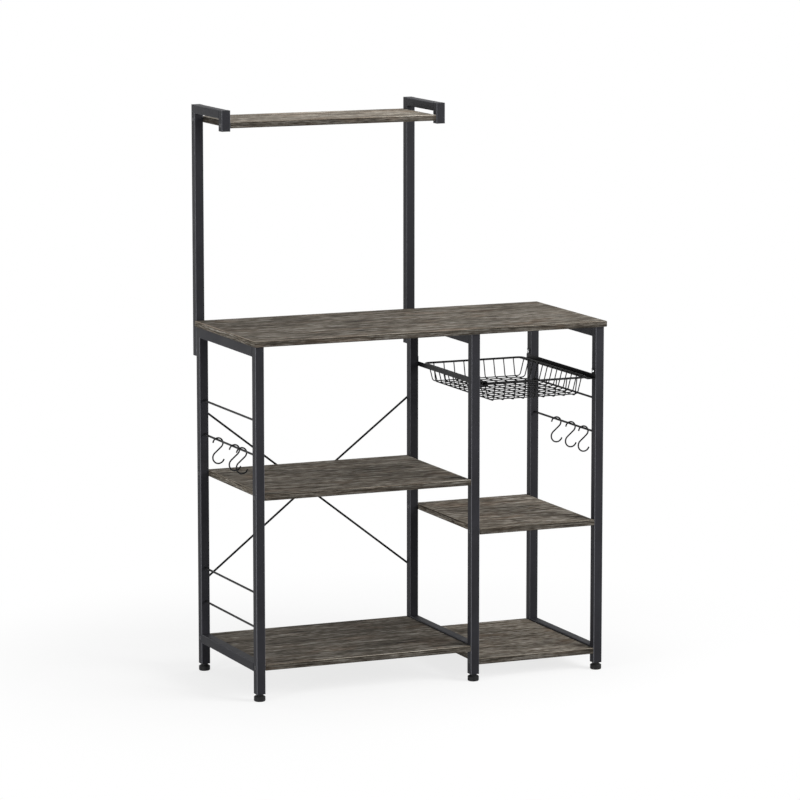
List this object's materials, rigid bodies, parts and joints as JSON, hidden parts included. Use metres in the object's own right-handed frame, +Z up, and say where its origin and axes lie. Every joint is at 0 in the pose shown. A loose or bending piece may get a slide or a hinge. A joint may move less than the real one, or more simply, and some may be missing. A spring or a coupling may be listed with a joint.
{
  "type": "microwave stand",
  "caption": "Free-standing kitchen rack with a worktop, open shelves, a raised hutch shelf, a sliding wire basket, hanging hooks and levelling feet.",
  "frame": {"origin": "on the floor, below the middle of the overall box", "axes": "+Z up, +X to the right and +Y to the back as seen from the front"},
  "size_m": [0.9021, 0.4164, 1.3615],
  "materials": {
    "frame_steel": "satin powder coat",
    "frame_wire": "satin powder coat",
    "board": "printed wood-grain laminate, matt",
    "screw": "black oxide",
    "plastic": "moulded, matt",
    "basket_wire": "satin powder coat",
    "hook_wire": "satin powder coat"
  },
  "bodies": {
    "stand": {"left_front_leg": "frame_steel", "left_back_leg": "frame_steel", "middle_front_leg": "frame_steel", "middle_back_leg": "frame_steel", "right_front_leg": "frame_steel", "right_back_leg": "frame_steel", "left_top_rail": "frame_steel", "left_base_rail": "frame_steel", "middle_top_rail": "frame_steel", "middle_base_rail": "frame_steel", "right_top_rail": "frame_steel", "right_base_rail": "frame_steel", "left_upright": "frame_steel", "right_upright": "frame_steel", "left_arm": "frame_steel", "right_arm": "frame_steel", "left_arm_end": "frame_steel", "right_arm_end": "frame_steel", "left_hook_rung": "frame_wire", "right_hook_rung": "frame_wire", "left_upper_rung": "frame_wire", "right_upper_rung": "frame_wire", "left_lower_rung": "frame_wire", "left_lowest_rung": "frame_wire", "brace_falling": "frame_wire", "brace_rising": "frame_wire", "basket_left_rail": "frame_steel", "basket_right_rail": "frame_steel", "worktop": "board", "left_shelf": "board", "right_shelf": "board", "left_base_shelf": "board", "right_base_shelf": "board", "hutch_shelf": "board", "shelf_screws": "screw", "worktop_screws": "screw", "upright_screws": "screw", "brace_screws": "screw", "basket_rail_screws": "screw", "foot_plugs": "plastic", "tube_end_caps": "plastic"},
    "basket": {"basket_rim": "basket_wire", "basket_long_wires": "basket_wire", "basket_cross_wires": "basket_wire"},
    "left_hook_1_body": {"left_hook_1": "hook_wire"},
    "left_hook_2_body": {"left_hook_2": "hook_wire"},
    "left_hook_3_body": {"left_hook_3": "hook_wire"},
    "right_hook_1_body": {"right_hook_1": "hook_wire"},
    "right_hook_2_body": {"right_hook_2": "hook_wire"},
    "right_hook_3_body": {"right_hook_3": "hook_wire"},
    "left_front_foot_body": {"left_front_foot": "plastic"},
    "left_back_foot_body": {"left_back_foot": "plastic"},
    "middle_front_foot_body": {"middle_front_foot": "plastic"},
    "middle_back_foot_body": {"middle_back_foot": "plastic"},
    "right_front_foot_body": {"right_front_foot": "plastic"},
    "right_back_foot_body": {"right_back_foot": "plastic"}
  },
  "joints": [
    {"name": "basket_slide", "type": "slide", "parent": "stand", "child": "basket", "axis": [0, -1, 0], "range_m": [0, 0.25]},
    {"name": "left_hook_1_swing", "type": "hinge", "parent": "stand", "child": "left_hook_1_body", "pos_m": [-0.435, -0.0812, 0.577], "axis": [0, 1, 0], "range_deg": [-45, 45]},
    {"name": "left_hook_2_swing", "type": "hinge", "parent": "stand", "child": "left_hook_2_body", "pos_m": [-0.435, -0.0352, 0.577], "axis": [0, 1, 0], "range_deg": [-45, 45]},
    {"name": "left_hook_3_swing", "type": "hinge", "parent": "stand", "child": "left_hook_3_body", "pos_m": [-0.435, 0.0728, 0.577], "axis": [0, 1, 0], "range_deg": [-45, 45]},
    {"name": "right_hook_1_swing", "type": "hinge", "parent": "stand", "child": "right_hook_1_body", "pos_m": [0.435, -0.1122, 0.577], "axis": [0, 1, 0], "range_deg": [-45, 45]},
    {"name": "right_hook_2_swing", "type": "hinge", "parent": "stand", "child": "right_hook_2_body", "pos_m": [0.435, -0.0412, 0.577], "axis": [0, 1, 0], "range_deg": [-45, 45]},
    {"name": "right_hook_3_swing", "type": "hinge", "parent": "stand", "child": "right_hook_3_body", "pos_m": [0.435, 0.0388, 0.577], "axis": [0, 1, 0], "range_deg": [-45, 45]},
    {"name": "left_front_foot_turn", "type": "hinge", "parent": "stand", "child": "left_front_foot_body", "pos_m": [-0.435, -0.1892, 0], "axis": [0, 0, 1], "continuous": true},
    {"name": "left_back_foot_turn", "type": "hinge", "parent": "stand", "child": "left_back_foot_body", "pos_m": [-0.435, 0.1728, 0], "axis": [0, 0, 1], "continuous": true},
    {"name": "middle_front_foot_turn", "type": "hinge", "parent": "stand", "child": "middle_front_foot_body", "pos_m": [0.111, -0.1892, 0], "axis": [0, 0, 1], "continuous": true},
    {"name": "middle_back_foot_turn", "type": "hinge", "parent": "stand", "child": "middle_back_foot_body", "pos_m": [0.111, 0.1728, 0], "axis": [0, 0, 1], "continuous": true},
    {"name": "right_front_foot_turn", "type": "hinge", "parent": "stand", "child": "right_front_foot_body", "pos_m": [0.435, -0.1892, 0], "axis": [0, 0, 1], "continuous": true},
    {"name": "right_back_foot_turn", "type": "hinge", "parent": "stand", "child": "right_back_foot_body", "pos_m": [0.435, 0.1728, 0], "axis": [0, 0, 1], "continuous": true}
  ]
}
